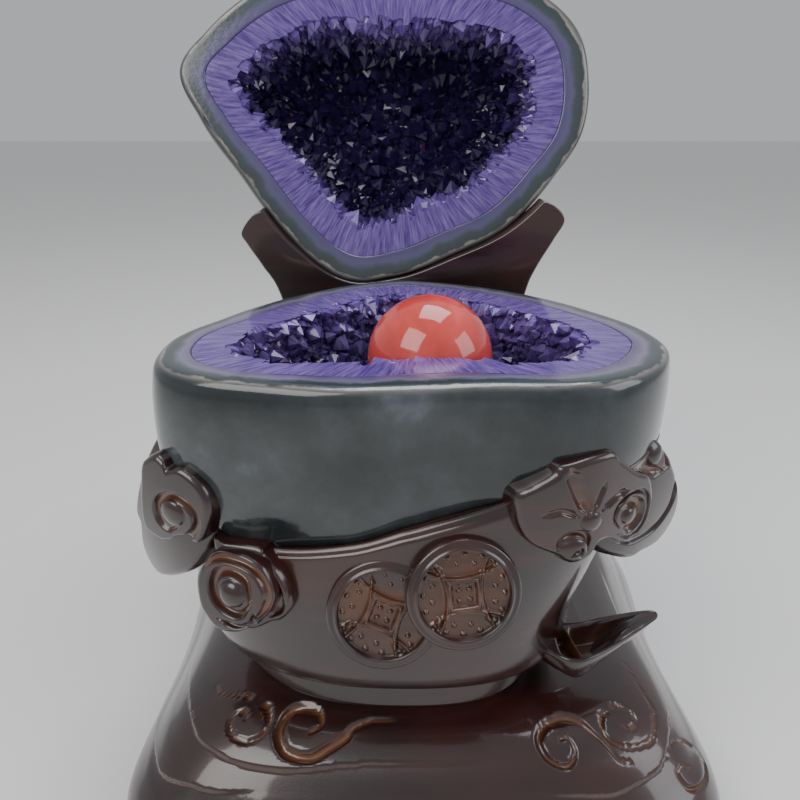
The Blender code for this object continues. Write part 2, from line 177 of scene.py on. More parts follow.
def around(plan, angle):
    """The value at each angle, on a smooth closed cubic through a plan's (degrees, value) points."""
    turns, values = np.array(sorted((math.radians(a) % TAU, r) for a, r in plan)).T
    turns = np.concatenate((turns[-2:] - TAU, turns, turns[:2] + TAU))
    values = np.concatenate((values[-2:], values, values[:2]))
    angle = np.mod(angle, TAU)
    after = np.searchsorted(turns, angle, side="right")
    a0, a1, a2, a3 = (turns[after + step] for step in (-2, -1, 0, 1))
    r0, r1, r2, r3 = (values[after + step] for step in (-2, -1, 0, 1))
    t = (angle - a1) / (a2 - a1)
    slope1 = (r2 - r0) / (a2 - a0) * (a2 - a1)
    slope2 = (r3 - r1) / (a3 - a1) * (a2 - a1)
    return ((2 * t**3 - 3 * t**2 + 1) * r1 + (t**3 - 2 * t**2 + t) * slope1
            + (3 * t**2 - 2 * t**3) * r2 + (t**3 - t**2) * slope2)


def stone_reach(direction, plan, layer, grow=0.0):
    """How far a layer of the stone reaches along unit directions from the middle of its widest level.

    Across it follows the plan, swelled so that the line on the sawn face keeps its place; down it
    closes like a full ellipse: (across / wide)^2.5 + (down / deep)^2.5 = 1, with a slight lumpiness.
    """
    inset, belly, depth = layer
    swell = (1 - (belly / depth) ** FULLNESS) ** (-1 / FULLNESS)
    x, y, z = direction[..., 0], direction[..., 1], direction[..., 2]
    wide = (around(plan, np.arctan2(y, x)) - inset) * swell + grow
    lumps = 1 + 0.012 * np.sin(5 * x + 3 * y + 1) * np.sin(4 * z + 2)
    return lumps * ((np.hypot(x, y) / wide) ** FULLNESS
                    + (np.abs(z) / (depth + grow)) ** FULLNESS) ** (-1 / FULLNESS)


def stone_skin(plan, layer, lean, angle, fall, grow=0.0):
    """Points of a layer at each angle around; fall runs from 0 at the sawn face to 1 at the lowest point."""
    belly, depth = layer[1:]
    top = np.arctan2(belly, around(plan, angle) - layer[0])
    tilt = top + (-math.pi / 2 - top) * fall
    direction = np.stack((np.cos(tilt) * np.cos(angle), np.cos(tilt) * np.sin(angle), np.sin(tilt)), -1)
    place = direction * stone_reach(direction, plan, layer, grow)[..., None]
    place[..., 2] += lean * place[..., 0] * np.maximum(0.0, -place[..., 2] / depth) - belly
    return place


def moved(points, matrix):
    """Points carried by a matrix."""
    matrix = np.array(matrix)
    return points @ matrix[:3, :3].T + matrix[:3, 3]


def mesh_piece(name, points, faces, material, smooth=True, marks=None):
    """A mesh object riding on the set; faces are one array of equal corners, or a list of such arrays.

    Marks are named arrays with one number, or three, for each point. A closed mesh whose volume
    comes out negative is turned so that its faces point outwards.
    """
    faces = faces if isinstance(faces, list) else [faces]
    corners = np.concatenate([part.ravel() for part in faces])
    sizes = np.concatenate([np.full(len(part), part.shape[1]) for part in faces])
    volume = 0.0
    for part in faces:
        for k in range(1, part.shape[1] - 1):
            a, b, c = points[part[:, 0]], points[part[:, k]], points[part[:, k + 1]]
            volume += np.einsum("ij,ij->", a, np.cross(b, c)) / 6
    mesh = bpy.data.meshes.new(name)
    mesh.vertices.add(len(points))
    mesh.vertices.foreach_set("co", points.astype(np.float32).ravel())
    mesh.loops.add(len(corners))
    mesh.loops.foreach_set("vertex_index", corners.astype(np.int32))
    mesh.polygons.add(len(sizes))
    mesh.polygons.foreach_set("loop_start", np.concatenate(([0], np.cumsum(sizes)[:-1])).astype(np.int32))
    mesh.update(calc_edges=True)
    mesh.validate()
    if volume < 0:
        mesh.flip_normals()
    mesh.polygons.foreach_set("use_smooth", np.full(len(sizes), smooth))
    for mark, values in (marks or {}).items():
        kind, key = ("FLOAT", "value") if values.ndim == 1 else ("FLOAT_VECTOR", "vector")
        mesh.attributes.new(mark, kind, "POINT").data.foreach_set(key, values.astype(np.float32).ravel())
    mesh.materials.append(material)
    piece = bpy.data.objects.new(name, mesh)
    bpy.context.scene.collection.objects.link(piece)
    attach(piece, "root")
    return piece


def ring_faces(rows, columns, first=0):
    """Four-cornered faces between rows of points that each close on themselves."""
    at = first + np.arange(rows * columns).reshape(rows, columns)
    low, high = at[:-1], at[1:]
    return np.stack((low, np.roll(low, -1, 1), np.roll(high, -1, 1), high), -1).reshape(-1, 4)


def fan_faces(rim, centre):
    """Triangles from a closed rim of points to one centre point."""
    rim = np.asarray(rim)
    return np.stack((rim, np.roll(rim, -1), np.full(len(rim), centre)), -1)


def closed_rings(grid, first_end, last_end):
    """Points and faces of a grid of closed rows whose first and last rows are drawn to one point each."""
    rows, columns = grid.shape[:2]
    count = rows * columns
    points = np.concatenate((grid.reshape(-1, 3), [first_end, last_end]))
    ends = np.concatenate((fan_faces(np.arange(columns)[::-1], count),
                           fan_faces(np.arange(count - columns, count), count + 1)))
    return points, [ring_faces(rows, columns), ends]


def half_shell(name, plan, layers, lean, frame_matrix, easing, material):
    """One half's stone: out over the sawn face, round its eased edge, down the skin, and up inside the hollow.

    Rows are: the inside wall from its lowest point up, the flat face outwards, a parabola that rounds
    the edge, and the skin down to its lowest point. Two marks go along: the distance in from the edge
    on the sawn face, and the point's place around it.
    """
    angle = np.linspace(0, TAU, STONE_COLUMNS, endpoint=False)
    edge = around(plan, angle)
    inside = stone_skin(plan, layers["room"], lean * 0.4, angle[None, :], np.linspace(0.96, 0.0, 14)[:, None])
    inside[-1, :, 2] = 0.0
    spoke = np.stack((np.cos(angle), np.sin(angle), np.zeros_like(angle)), -1)
    inner = np.linalg.norm(inside[-1, :, :2], axis=1)
    share = np.linspace(0.0, 1.0, 12)[1:, None]
    flat = (inner + (edge - easing - inner) * share)[..., None] * spoke[None]
    turn = easing / np.hypot(edge, layers["skin"][1])
    fall_start = turn / (math.pi / 2 + np.arctan2(layers["skin"][1], edge))
    side = stone_skin(plan, layers["skin"], lean, angle[None, :],
                      fall_start + (0.985 - fall_start) * np.linspace(0.0, 1.0, 70)[:, None])
    corner = edge[:, None] * spoke
    t = np.linspace(0.0, 1.0, 8)[1:-1, None, None]
    eased = (1 - t) ** 2 * flat[-1] + 2 * t * (1 - t) * corner + t**2 * side[0]
    grid = np.concatenate((inside, flat, eased, side))
    ends = [stone_skin(plan, layers[layer], 0.0, np.zeros(1), np.ones(1))[0] for layer in ("room", "skin")]
    points, faces = closed_rings(grid, *ends)
    rows = len(grid)
    depth_in = np.zeros((rows, STONE_COLUMNS))
    radius = np.linalg.norm(grid[..., :2], axis=-1)
    first_side = rows - len(side)
    depth_in[:first_side] = np.maximum(edge - radius[:first_side], 0.0)
    around_mark = np.broadcast_to(spoke, (rows, STONE_COLUMNS, 3)).reshape(-1, 3)
    marks = {"depth_in": np.concatenate((depth_in.ravel(), [0.0, 0.0])),
             "around": np.concatenate((around_mark, np.zeros((2, 3))))}
    piece = mesh_piece(name, moved(points, frame_matrix), faces, material, marks=marks)
    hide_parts(name.replace("_stone", "_geode"))
    return piece


def stone_finish(name, rim_tone):
    """Dark green-grey polished stone: soft patches, pale agate in places, and bands along the sawn edge."""
    material, tree, shader = start_finish(name)
    place = add(tree, "TexCoord", output=3)
    patches = add(tree, "TexNoise", {"Vector": place, "Scale": 14.0, "Detail": 5.0, "Roughness": 0.6})
    colour = ramp(tree, patches, (0.30, (0.006, 0.009, 0.011)), (0.46, (0.022, 0.030, 0.032)),
                  (0.58, (0.045, 0.054, 0.058)), (0.74, (0.13, 0.15, 0.19)))
    depth_in = add(tree, "Attribute", attribute_name="depth_in", output=2)
    wander = add(tree, "TexNoise", {"Vector": place, "Scale": 70.0, "Detail": 3.0})
    wander = sums(tree, "MULTIPLY", sums(tree, "SUBTRACT", wander, 0.5), 0.009)
    bands = sums(tree, "MULTIPLY", sums(tree, "ADD", depth_in, wander), 40.0)
    sawn = ramp(tree, bands, (0.0, (0.16, 0.15, 0.13)), (0.10, (0.30, 0.27, 0.25)), (0.16, (0.035, 0.05, 0.052)),
                (0.36, (0.045, 0.06, 0.065)), (0.52, rim_tone), (0.85, (0.07, 0.05, 0.15)))
    face = ramp(tree, depth_in, (0.0012, 0.0), (0.0016, 1.0))
    colour = mix(tree, face, colour, sawn)
    tree.links.new(colour, shader.inputs["Base Color"])
    shader.inputs["Roughness"].default_value = 0.16
    shader.inputs["Coat Weight"].default_value = 0.5
    shader.inputs["Coat Roughness"].default_value = 0.06
    pits = add(tree, "TexNoise", {"Vector": place, "Scale": 260.0, "Detail": 3.0})
    bump(tree, shader, pits, 0.12, 0.0008)
    return material


half_shell("lower_stone", LOWER_PLAN, LOWER_LAYERS, LOWER_LEAN, LOWER_FRAME, 0.007,
           stone_finish("lower_agate", (0.17, 0.15, 0.24)))
half_shell("upper_stone", UPPER_PLAN, UPPER_LAYERS, 0.0, UPPER_FRAME, 0.004,
           stone_finish("upper_agate", (0.09, 0.085, 0.17)))

# The crystals: a crust of amethyst that lines each hollow, sawn through with the stone at the rim.
# Its points are six-sided, stand nearly square to the wall and differ in size, with some cut off at the saw.
CRYSTAL_WIDTH = 0.0031
SINK = 0.0022
SAW_CLEAR = 0.0003


def hollow_wall(plan, layer, direction):
    """Where directions from the hollow's middle meet its wall, and the wall's normal towards the air there.

    The normal is the gradient of the wall's formula, by small steps along each axis.
    """
    place = direction * stone_reach(direction, plan, layer)[..., None]
    step = 1e-4
    slope = []
    for axis in np.eye(3):
        near = place + axis * step
        reach = np.linalg.norm(near, axis=-1)
        slope.append(reach / stone_reach(near / reach[..., None], plan, layer) - 1)
    normal = -np.stack(slope, -1)
    normal /= np.linalg.norm(normal, axis=-1)[..., None]
    place[..., 2] -= layer[1]
    return place, normal


def crystal_points(feet, axes, widths, heights, chance):
    """Six-sided points: for each, a foot ring, a shoulder ring and a tip off the middle.

    Returns an array of (count, 14, 3): foot ring, shoulder ring, foot centre and tip.
    """
    count = len(feet)
    side = np.cross(axes, chance.normal(size=(count, 3)))
    side /= np.linalg.norm(side, axis=1)[:, None]
    other = np.cross(axes, side)
    turn = np.arange(6) * TAU / 6
    uneven = chance.uniform(0.80, 1.18, (count, 6))
    flat = (np.cos(turn)[None, :, None] * side[:, None] + np.sin(turn)[None, :, None] * other[:, None])
    ring = flat * (uneven * widths[:, None])[..., None]
    lean = chance.uniform(-0.5, 0.5, (count, 2))
    tip_shift = (side * lean[:, :1] + other * lean[:, 1:]) * widths[:, None]
    slant = np.einsum("nkj,nj->nk", ring, -tip_shift) / widths[:, None]
    shoulder = (heights * 0.45)[:, None] + slant * 0.9
    feet_ring = feet[:, None] + ring * 0.9
    shoulder_ring = feet[:, None] + ring + axes[:, None] * shoulder[..., None]
    tip = feet + axes * heights[:, None] + tip_shift
    return np.concatenate((feet_ring, shoulder_ring, feet[:, None], tip[:, None]), 1)


def crystal_faces(count, first):
    """Triangles of many crystals: sides, tip and foot."""
    k = np.arange(6)
    n = (k + 1) % 6
    one = np.concatenate((np.stack((k, n, n + 6), 1), np.stack((k, n + 6, k + 6), 1),
                          np.stack((k + 6, n + 6, np.full(6, 13)), 1), np.stack((n, k, np.full(6, 12)), 1)))
    return (first + np.arange(count)[:, None, None] * 14 + one[None]).reshape(-1, 3)


def spread_directions(count, highest):
    """Evenly spread unit directions below a height, on a spiral that turns by the golden angle."""
    step = np.arange(count) + 0.5
    z = highest - (highest + 1) * step / count
    turn = step * math.pi * (3 - math.sqrt(5))
    across = np.sqrt(1 - z**2)
    return np.stack((across * np.cos(turn), across * np.sin(turn), z), 1)


def crust(name, plan, layers, frame_matrix, count, seed, material):
    """One half's crystals: the sawn band, the wall under them, and the crystals, as one mesh.

    The band and wall are rows: up the buried back of the crust, in over the sawn face to a jagged
    edge, and down the hollow's wall. The crystals' feet are sunk in that wall.
    """
    chance = np.random.default_rng(seed)
    columns = 360
    angle = np.linspace(0, TAU, columns, endpoint=False)
    spoke = np.stack((np.cos(angle), np.sin(angle), np.zeros_like(angle)), -1)
    back = stone_skin(plan, layers["room"], 0.0, angle[None, :], np.linspace(0.96, 0.0, 8)[:, None]) * 0.997
    back[-1, :, 2] = -SAW_CLEAR / 3
    outer = np.linalg.norm(back[-1, :, :2], axis=1)
    teeth = np.repeat(chance.uniform(-0.0035, 0.004, columns // 4), 4) + chance.uniform(-0.0006, 0.0006, columns)
    inner = around(plan, angle) - layers["air"][0] + teeth
    share = np.linspace(0.0, 1.0, 12)[1:, None]
    band = (outer + (inner - outer) * share)[..., None] * spoke[None]
    band[..., 2] = -SAW_CLEAR / 3
    fall = np.linspace(0.0, 0.97, 44)[1:, None]
    wall = stone_skin(plan, layers["air"], 0.0, angle[None, :], fall)
    wall = wall * (1 + chance.uniform(-0.012, 0.012, wall.shape[:2]))[..., None]
    wall[..., 2] = np.minimum(wall[..., 2], -2 * SAW_CLEAR)
    grid = np.concatenate((back, band, wall))
    ends = [stone_skin(plan, layers[layer], 0.0, np.zeros(1), np.ones(1))[0] for layer in ("room", "air")]
    points, faces = closed_rings(grid, *ends)
    body_count = len(points)

    direction = spread_directions(count, 0.10)
    direction += chance.normal(0.0, 0.018, direction.shape)
    direction /= np.linalg.norm(direction, axis=1)[:, None]
    feet, normals = hollow_wall(plan, layers["air"], direction)
    kept = feet[:, 2] < -0.001
    feet, normals = feet[kept], normals[kept]
    axes = normals + chance.normal(0.0, 0.24, normals.shape)
    axes /= np.linalg.norm(axes, axis=1)[:, None]
    widths = CRYSTAL_WIDTH * np.exp(chance.normal(0.0, 0.34, len(feet))).clip(0.55, 2.2)
    heights = SINK + widths * chance.uniform(1.2, 2.2, len(feet))
    made = crystal_points(feet - normals * SINK, axes, widths, heights, chance)
    made[..., 2] = np.minimum(made[..., 2], -SAW_CLEAR - chance.uniform(0, 0.0012, len(made))[:, None])
    faces.append(crystal_faces(len(made), body_count))
    shade = np.repeat(chance.uniform(0.0, 1.0, len(made)), 14)
    points = np.concatenate((points, made.reshape(-1, 3)))
    # How far down the hollow each point lies; the amethyst finish uses it for painted shade deeper in the hollow.
    depth = np.clip(-points[:, 2] / layers["air"][2], 0.0, 1.0)
    radius = np.linalg.norm(points[:, :2], axis=1)
    way = np.arctan2(points[:, 1], points[:, 0])
    marks = {"depth": depth, "shade": np.concatenate((np.full(body_count, 0.4), shade)),
             "depth_in": around(plan, way) - radius, "around": np.stack((np.cos(way), np.sin(way), radius), 1)}
    piece = mesh_piece(name, moved(points, frame_matrix), faces, material, smooth=False, marks=marks)
    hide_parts(name)
    return piece


def amethyst_finish():
    """Purple quartz that lets some light through: each crystal has its own tone of purple, and painted shade darkens
    the crust towards the bottom of the hollow.
    """
    material, tree, shader = start_finish("amethyst")
    shade = add(tree, "Attribute", attribute_name="shade", output=2)
    # The depth mark drives the painted shade below.
    depth = add(tree, "Attribute", attribute_name="depth", output=2)
    streak_way = add(tree, "Mapping", {"Vector": add(tree, "Attribute", attribute_name="around", output=1),
                                       "Scale": (60.0, 60.0, 60.0)})
    streaks = add(tree, "TexNoise", {"Vector": streak_way, "Scale": 1.0, "Detail": 4.0, "Roughness": 0.6})
    own = ramp(tree, shade, (0.0, (0.045, 0.022, 0.15)), (0.6, (0.10, 0.05, 0.30)), (1.0, (0.24, 0.15, 0.52)))
    own = mix(tree, ramp(tree, streaks, (0.35, 0.0), (0.7, 1.0)), own, (0.30, 0.20, 0.55))
    # Painted shade: deeper in the hollow the colour turns near-black, standing in for the shadow that falls there.
    deep = ramp(tree, depth, (0.05, 0.0), (0.75, 1.0))
    colour = mix(tree, deep, own, (0.025, 0.014, 0.075))
    tree.links.new(colour, shader.inputs["Base Color"])
    shader.inputs["Roughness"].default_value = 0.12
    shader.inputs["IOR"].default_value = 1.544
    shader.inputs["Transmission Weight"].default_value = 0.25
    return material


amethyst = amethyst_finish()
crust("lower_crystals", LOWER_PLAN, LOWER_LAYERS, LOWER_FRAME, 2600, 11, amethyst)
crust("upper_crystals", UPPER_PLAN, UPPER_LAYERS, UPPER_FRAME, 3000, 23, amethyst)

# The ball: coral-red stone ground round and polished bright, lying loose in the lower hollow.
BALL_RADIUS = 0.0375
BALL_CENTRE = (0.013, -0.044, 0.2975)


def ball():
    """A sphere in rows from pole to pole."""
    tilt = np.linspace(-math.pi / 2, math.pi / 2, 66)[1:-1, None]
    turn = np.linspace(0, TAU, 128, endpoint=False)[None, :]
    grid = np.stack((np.cos(tilt) * np.cos(turn), np.cos(tilt) * np.sin(turn),
                     np.sin(tilt) + 0 * turn), -1) * BALL_RADIUS + BALL_CENTRE
    pole = np.array((0.0, 0.0, BALL_RADIUS))
    material, tree, shader = start_finish("coral_red")
    place = add(tree, "TexCoord", output=3)
    stretched = add(tree, "Mapping", {"Vector": place, "Rotation": (0.3, 0.5, 0.2), "Scale": (30.0, 9.0, 16.0)})
    cloud = add(tree, "TexNoise", {"Vector": stretched, "Scale": 1.6, "Detail": 4.0, "Roughness": 0.55})
    colour = ramp(tree, cloud, (0.3, (0.55, 0.055, 0.045)), (0.55, (0.70, 0.085, 0.07)), (0.8, (0.82, 0.20, 0.17)))
    tree.links.new(colour, shader.inputs["Base Color"])
    shader.inputs["Roughness"].default_value = 0.09
    shader.inputs["Subsurface Weight"].default_value = 0.15
    shader.inputs["Subsurface Radius"].default_value = (0.01, 0.003, 0.003)
    shader.inputs["Coat Weight"].default_value = 0.4
    points, faces = closed_rings(grid, np.array(BALL_CENTRE) - pole, np.array(BALL_CENTRE) + pole)
    piece = mesh_piece("coral_ball", points, faces, material)
    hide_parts("ball")


ball()

# The lower stand: one block of dark hardwood, waisted at the sides, carved in three overlapping cloud
# layers with cut-in scrolls, and lacquered to a deep gloss. Its foot is centred on the table.
BASE_WIDTH = 0.414
BASE_DEPTH = 0.370
BASE_SQUARENESS = 4.2
BASE_SHIFT = 0.010
BASE_WAIST = 0.10
BASE_STEPS = ((0.965, 0.000), (0.990, 0.012), (1.000, 0.024), (0.985, 0.036), (0.945, 0.049), (0.915, 0.056),
              (0.870, 0.068), (0.810, 0.080), (0.720, 0.089), (0.600, 0.096))
BASE_COLUMNS = 640
# A layer's edge: points of its line seen from above in millimetres, and how far the next layer lies below it.
BASE_LAYERS = (
    (((-154, 40), (-156, -10), (-152, -59), (-144, -93), (-131, -124), (-116, -137), (-100, -145), (-81, -149),
      (-64, -150), (-28, -148), (8, -148), (43, -147), (76, -149)), 0.0032),
    (((158, 60), (159, 20), (160, -16), (167, -56), (172, -88), (166, -114), (160, -128), (152, -141),
      (137, -150), (118, -157), (88, -159), (64, -160)), 0.0038),
    (((-176, -30), (-172, -80), (-160, -122), (-149, -138), (-133, -147), (-114, -154), (-83, -157)), 0.0030))
# A scroll: points of its groove in the same way, its width and its depth.
BASE_SCROLLS = (
    (((-124, -93), (-119, -101), (-100, -107), (-89, -114), (-85, -123), (-88, -132), (-98, -135), (-107, -130),
      (-110, -122), (-107, -117), (-102, -117), (-99, -122)), 0.0028, 0.0022),
    (((-10, -126), (-23, -126), (-34, -130), (-38, -135), (-47, -140), (-58, -145), (-70, -143), (-76, -138),
      (-78, -129), (-73, -119), (-64, -117), (-55, -120), (-53, -128), (-59, -132)), 0.0060, 0.0035),
    (((133, -143), (125, -143), (118, -136), (110, -129), (105, -125), (96, -123), (83, -128), (78, -136),
      (81, -144), (89, -148), (96, -147), (99, -140), (95, -134), (89, -136)), 0.0040, 0.0030),
    (((146, -70), (152, -93), (156, -107), (153, -120), (147, -130), (133, -136), (122, -134), (118, -127),
      (120, -119), (128, -112), (138, -112), (141, -119), (137, -125), (131, -125)), 0.0024, 0.0020),
    (((160, -134), (166, -124), (180, -112), (190, -116), (188, -128), (180, -138), (172, -142), (167, -138),
      (171, -132), (178, -129)), 0.0030, 0.0024))


def line_through(knots, closed=False, each=14):
    """A smooth line through points, by a cubic between each two whose slopes come from their neighbours."""
    knots = np.asarray(knots, float)
    if closed:
        knots = np.concatenate((knots[-1:], knots, knots[:2]))
    else:
        knots = np.concatenate((2 * knots[:1] - knots[1:2], knots, 2 * knots[-1:] - knots[-2:-1]))
    p0, p1, p2, p3 = (knots[k:len(knots) - 3 + k, None] for k in range(4))
    t = np.linspace(0, 1, each, endpoint=False)[None, :, None]
    line = 0.5 * (2 * p1 + (p2 - p0) * t + (2 * p0 - 5 * p1 + 4 * p2 - p3) * t**2
                  + (3 * p1 - p0 - 3 * p2 + p3) * t**3)
    line = line.reshape(-1, knots.shape[1])
    return line if closed else np.concatenate((line, knots[-2:-1]))


def nearest(points, line):
    """For each point: its distance to a line's nearest sample, and that sample's number."""
    parts = np.array_split(points, max(1, len(points) // 8000))
    found = [np.linalg.norm(part[:, None] - line[None], axis=-1) for part in parts]
    return np.concatenate([d.min(1) for d in found]), np.concatenate([d.argmin(1) for d in found])


def ease(value):
    """From 0 to 1 along a smooth step."""
    value = np.clip(value, 0.0, 1.0)
    return value * value * (3 - 2 * value)


def taper(sample, count, share=0.2):
    """How full a line is at a sample: it thins away towards both ends."""
    along = sample / (count - 1)
    return ease(np.minimum(along, 1 - along) / share)


def grid_normals(grid):
    """Unit normals of a grid of closed rows, from the cross product of its two directions."""
    around_way = np.roll(grid, -1, 1) - np.roll(grid, 1, 1)
    normal = np.cross(around_way, np.gradient(grid, axis=0))
    return normal / np.maximum(np.linalg.norm(normal, axis=-1), 1e-12)[..., None]


def profile(steps, count):
    """Rows of values along a smooth line through steps."""
    line = line_through(steps, each=40)
    return line[np.linspace(0, len(line) - 1, count).round().astype(int)]


def wood_finish(name):
    """Dark red-brown lacquered wood: faint grain, fine stipple in the gloss, and orange-brown in the cuts."""
    material, tree, shader = start_finish(name)
    place = add(tree, "TexCoord", output=3)
    grain_way = add(tree, "Mapping", {"Vector": place, "Scale": (6.0, 30.0, 60.0)})
    grain = add(tree, "TexNoise", {"Vector": grain_way, "Scale": 1.5, "Detail": 6.0, "Roughness": 0.6})
    body = ramp(tree, grain, (0.3, (0.010, 0.0032, 0.0035)), (0.55, (0.022, 0.006, 0.0055)),
                (0.8, (0.048, 0.011, 0.008)))
    worn = add(tree, "TexNoise", {"Vector": place, "Scale": 9.0, "Detail": 2.0})
    body = mix(tree, ramp(tree, worn, (0.5, 0.0), (0.75, 0.6)), body, (0.060, 0.012, 0.008))
    recess = add(tree, "Attribute", attribute_name="recess", output=2)
    cut = ramp(tree, grain, (0.3, (0.055, 0.016, 0.007)), (0.7, (0.17, 0.062, 0.020)))
    tree.links.new(mix(tree, recess, body, cut), shader.inputs["Base Color"])
    shader.inputs["Roughness"].default_value = 0.30
    shader.inputs["Coat Weight"].default_value = 0.9
    shader.inputs["Coat Roughness"].default_value = 0.09
    stipple = add(tree, "TexNoise", {"Vector": place, "Scale": 900.0, "Detail": 1.0})
    bump(tree, shader, stipple, 0.10, 0.0006)
    return material


def base_top(plan):
    """Lay plan points on the block's upper slope: the height where its rounded rectangle passes through them."""
    y = plan[:, 1]
    waist = 1 - BASE_WAIST * np.clip(1 - (2 * y / BASE_DEPTH) ** 2, 0, 1) ** 2
    x = (plan[:, 0] - BASE_SHIFT) / waist
    share = ((np.abs(x) * 2 / BASE_WIDTH) ** BASE_SQUARENESS
             + (np.abs(y) * 2 / BASE_DEPTH) ** BASE_SQUARENESS) ** (1 / BASE_SQUARENESS)
    rows = profile(BASE_STEPS, 200)
    rows = rows[rows[:, 1] > 0.024][::-1]
    height = np.interp(share, rows[:, 0], rows[:, 1])
    return np.column_stack((plan, height))


def base(wood):
    """The block as rows of rounded rectangles, with its layers stepped and its scrolls cut along the normals."""
    t = np.linspace(0, TAU, BASE_COLUMNS, endpoint=False)
    angle = (t - 0.45 * np.cos(t))[None, :]
    rows = profile(BASE_STEPS, 112)
    scale, height = rows[:, :1], rows[:, 1:]
    x = BASE_WIDTH / 2 * np.abs(np.cos(angle)) ** (2 / BASE_SQUARENESS) * np.sign(np.cos(angle)) * scale
    y = BASE_DEPTH / 2 * np.abs(np.sin(angle)) ** (2 / BASE_SQUARENESS) * np.sign(np.sin(angle)) * scale
    x = x * (1 - BASE_WAIST * np.clip(1 - (2 * y / BASE_DEPTH) ** 2, 0, 1) ** 2)
    x = x + BASE_SHIFT * np.minimum(1.0, height / 0.02)
    grid = np.stack((x, y, height + 0 * x), -1)
    normal = grid_normals(grid)
    outward = np.sign((normal[50, 0] * (grid[50, 0] - grid.mean((0, 1)))).sum())
    points = grid.reshape(-1, 3)
    change = np.zeros(len(points))
    recess = np.zeros(len(points))
    upper = np.nonzero((points[:, 2] > 0.012) & (points[:, 1] < 0.07))[0]
    for knots, drop in BASE_LAYERS:
        line = base_top(line_through(np.array(knots) / 1000))
        apart, sample = nearest(points[upper], line)
        along = np.gradient(line, axis=0)[sample]
        away = points[upper] - line[sample]
        middle = np.array((0.01, -0.03, 0.0))
        side = along[:, 0] * away[:, 1] - along[:, 1] * away[:, 0]
        inward = along[:, 0] * (middle - line[sample])[:, 1] - along[:, 1] * (middle - line[sample])[:, 0]
        outside = side * inward < 0
        full = taper(sample, len(line), 0.3)
        fall = np.where(outside, ease(apart / 0.0016) * np.exp(-(apart / 0.022) ** 2), 0.0)
        change[upper] -= drop * full * fall
        recess[upper] = np.maximum(recess[upper], np.where(outside, 0.5 * full * np.exp(-apart / 0.0012), 0))
    for knots, width, deep in BASE_SCROLLS:
        line = base_top(line_through(np.array(knots) / 1000))
        apart, sample = nearest(points[upper], line)
        narrow = 0.35 + 0.65 * taper(sample, len(line), 0.35)
        cut = ease(1.35 - apart / (width * 0.5 * narrow))
        change[upper] -= deep * narrow * cut
        recess[upper] = np.maximum(recess[upper], cut)
    grid = grid + (normal.reshape(-1, 3) * outward * change[:, None]).reshape(grid.shape)
    points, faces = closed_rings(grid, np.array((0.0, 0.0, 0.0)), np.array((0.0, 0.0, BASE_STEPS[-1][1])))
    piece = mesh_piece("lower_stand", points, faces, wood, marks={"recess": np.concatenate((recess, [0.0, 0.0]))})
    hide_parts("stand_base")


lacquered = wood_finish("lacquered_wood")
base(lacquered)

# The bowl: carved from one block to fit the stone, on a short neck. Its side leans in to a rounded lip
# that follows the stone, and turns under at a keel. The stone sits in it with a hair of room.
BOWL_HALF_WIDTH = 0.150
BOWL_HALF_DEPTH = 0.112
BOWL_MIDDLE = (0.000, -0.028)
BOWL_FOOT = 0.140
BOWL_RIM = 0.215
BOWL_STEPS = ((0.0964, 0.82, 0.76, 0.58), (0.116, 0.80, 0.75, 0.58), (0.124, 0.94, 0.86, 0.68),
              (0.134, 0.985, 0.90, 0.72), (0.152, 0.995, 0.93, 0.73), (0.182, 0.985, 0.965, 0.86),
              (BOWL_RIM, 0.94, 0.975, 0.985))
BOWL_LIP = ((-125, 0.212), (-100, 0.221), (-85, 0.236), (-60, 0.252), (-30, 0.262), (0, 0.252), (45, 0.236),
            (90, 0.230), (135, 0.236), (180, 0.250), (205, 0.246), (218, 0.222))
BOWL_COLUMNS = 480
LIP_ROUND = 0.004
SEAT_GAP = 0.0006


